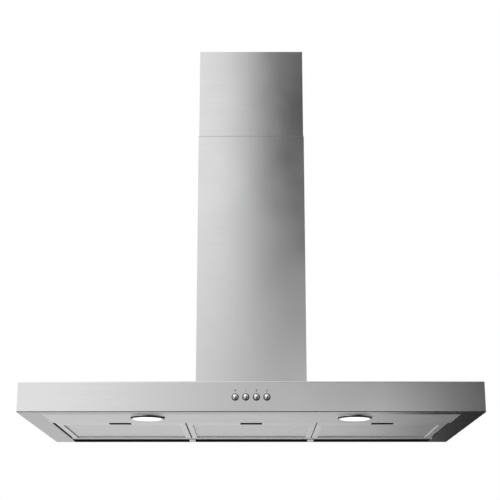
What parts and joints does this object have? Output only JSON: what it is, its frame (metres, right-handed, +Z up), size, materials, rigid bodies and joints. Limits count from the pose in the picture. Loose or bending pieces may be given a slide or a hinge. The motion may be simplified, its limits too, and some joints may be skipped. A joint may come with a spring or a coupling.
{
  "type": "wall chimney range hood",
  "caption": "Wall-hung range hood: flat steel box canopy, telescopic chimney, swing-down grease filters, round downlights, push buttons, blower and duct collar with damper.",
  "frame": {"origin": "centre of the four wall holes, on the face that touches the wall", "axes": "+X to the right across the wall as the user sees it, +Y into the wall, +Z up"},
  "size_m": [0.898, 0.506, 0.854],
  "materials": {
    "canopy_sheet": "brushed along its length",
    "panel_sheet": "brushed",
    "filter_sheet": "brushed",
    "rail_sheet": "brushed",
    "cover_sheet": "brushed upright",
    "mesh_pack": "expanded mesh",
    "latch_plastic": "matte",
    "lamp_glass": "frosted",
    "chrome_trim": "polished",
    "cast_can": "cast",
    "galvanised": "galvanised",
    "zinc_screw": "zinc plated",
    "motor_can": "satin",
    "ground_steel": "ground",
    "scroll_plastic": "moulded",
    "impeller_plastic": "moulded",
    "board": "lacquered",
    "duct_plastic": "moulded",
    "black_plastic": "moulded"
  },
  "bodies": {
    "hood": {"canopy_shell": "canopy_sheet", "back_panel": "galvanised", "lamp_panel": "panel_sheet", "filter_rails": "rail_sheet", "rear_rail": "rail_sheet", "lamp_bezel_left": "chrome_trim", "lamp_bezel_right": "chrome_trim", "lamp_lens_left": "lamp_glass", "lamp_lens_right": "lamp_glass", "lamp_body_left": "cast_can", "lamp_body_right": "cast_can", "button_bezels": "chrome_trim", "switch_housing": "black_plastic", "control_board": "board", "lower_cover": "cover_sheet", "blower_box": "galvanised", "box_screws": "zinc_screw", "scroll_wall": "scroll_plastic", "scroll_front": "scroll_plastic", "scroll_rear": "scroll_plastic", "motor": "motor_can", "motor_arms": "galvanised", "inlet_guard": "galvanised", "capacitor": "motor_can", "duct_collar": "duct_plastic", "collar_screws": "zinc_screw", "damper_pin": "ground_steel", "wiring_box": "black_plastic", "wiring_lid": "black_plastic", "cable_gland": "black_plastic"},
    "chimney": {"upper_cover": "cover_sheet", "top_bracket": "galvanised", "bracket_screws": "zinc_screw"},
    "fan": {"impeller": "impeller_plastic", "motor_shaft": "ground_steel"},
    "flap_front": {"damper_flap_front": "duct_plastic"},
    "flap_rear": {"damper_flap_rear": "duct_plastic"},
    "filter_left": {"filter_frame_left": "filter_sheet", "filter_mesh_left": "mesh_pack"},
    "latch_left": {"filter_latch_left": "latch_plastic"},
    "filter_mid": {"filter_frame_mid": "filter_sheet", "filter_mesh_mid": "mesh_pack"},
    "latch_mid": {"filter_latch_mid": "latch_plastic"},
    "filter_right": {"filter_frame_right": "filter_sheet", "filter_mesh_right": "mesh_pack"},
    "latch_right": {"filter_latch_right": "latch_plastic"},
    "button_1": {"button_1": "chrome_trim"},
    "button_2": {"button_2": "chrome_trim"},
    "button_3": {"button_3": "chrome_trim"},
    "button_4": {"button_4": "chrome_trim"}
  },
  "joints": [
    {"name": "chimney_slide", "type": "slide", "parent": "hood", "child": "chimney", "axis": [0, 0, 1], "range_m": [-0.15, 0.15]},
    {"name": "filter_left_swing", "type": "hinge", "parent": "hood", "child": "filter_left", "pos_m": [-0.26917, -0.065, -0.1973], "axis": [1, 0, 0], "range_deg": [0, 60]},
    {"name": "latch_left_slide", "type": "slide", "parent": "filter_left", "child": "latch_left", "axis": [0, 1, 0], "range_m": [0, 0.006], "stiffness_N_per_m": 400},
    {"name": "filter_mid_swing", "type": "hinge", "parent": "hood", "child": "filter_mid", "pos_m": [0, -0.065, -0.1973], "axis": [1, 0, 0], "range_deg": [0, 60]},
    {"name": "latch_mid_slide", "type": "slide", "parent": "filter_mid", "child": "latch_mid", "axis": [0, 1, 0], "range_m": [0, 0.006], "stiffness_N_per_m": 400},
    {"name": "filter_right_swing", "type": "hinge", "parent": "hood", "child": "filter_right", "pos_m": [0.26917, -0.065, -0.1973], "axis": [1, 0, 0], "range_deg": [0, 60]},
    {"name": "latch_right_slide", "type": "slide", "parent": "filter_right", "child": "latch_right", "axis": [0, 1, 0], "range_m": [0, 0.006], "stiffness_N_per_m": 400},
    {"name": "button_1_press", "type": "slide", "parent": "hood", "child": "button_1", "axis": [0, 1, 0], "range_m": [0, 0.003], "stiffness_N_per_m": 700},
    {"name": "button_2_press", "type": "slide", "parent": "hood", "child": "button_2", "axis": [0, 1, 0], "range_m": [0, 0.003], "stiffness_N_per_m": 700},
    {"name": "button_3_press", "type": "slide", "parent": "hood", "child": "button_3", "axis": [0, 1, 0], "range_m": [0, 0.003], "stiffness_N_per_m": 700},
    {"name": "button_4_press", "type": "slide", "parent": "hood", "child": "button_4", "axis": [0, 1, 0], "range_m": [0, 0.003], "stiffness_N_per_m": 700},
    {"name": "fan_spin", "type": "hinge", "parent": "hood", "child": "fan", "pos_m": [0, -0.14, -0.012], "axis": [0, 1, 0], "continuous": true},
    {"name": "flap_front_swing", "type": "hinge", "parent": "hood", "child": "flap_front", "pos_m": [0, -0.14, 0.16], "axis": [-1, 0, 0], "range_deg": [0, 75]},
    {"name": "flap_rear_swing", "type": "hinge", "parent": "hood", "child": "flap_rear", "pos_m": [0, -0.14, 0.16], "axis": [1, 0, 0], "range_deg": [0, 75]}
  ]
}
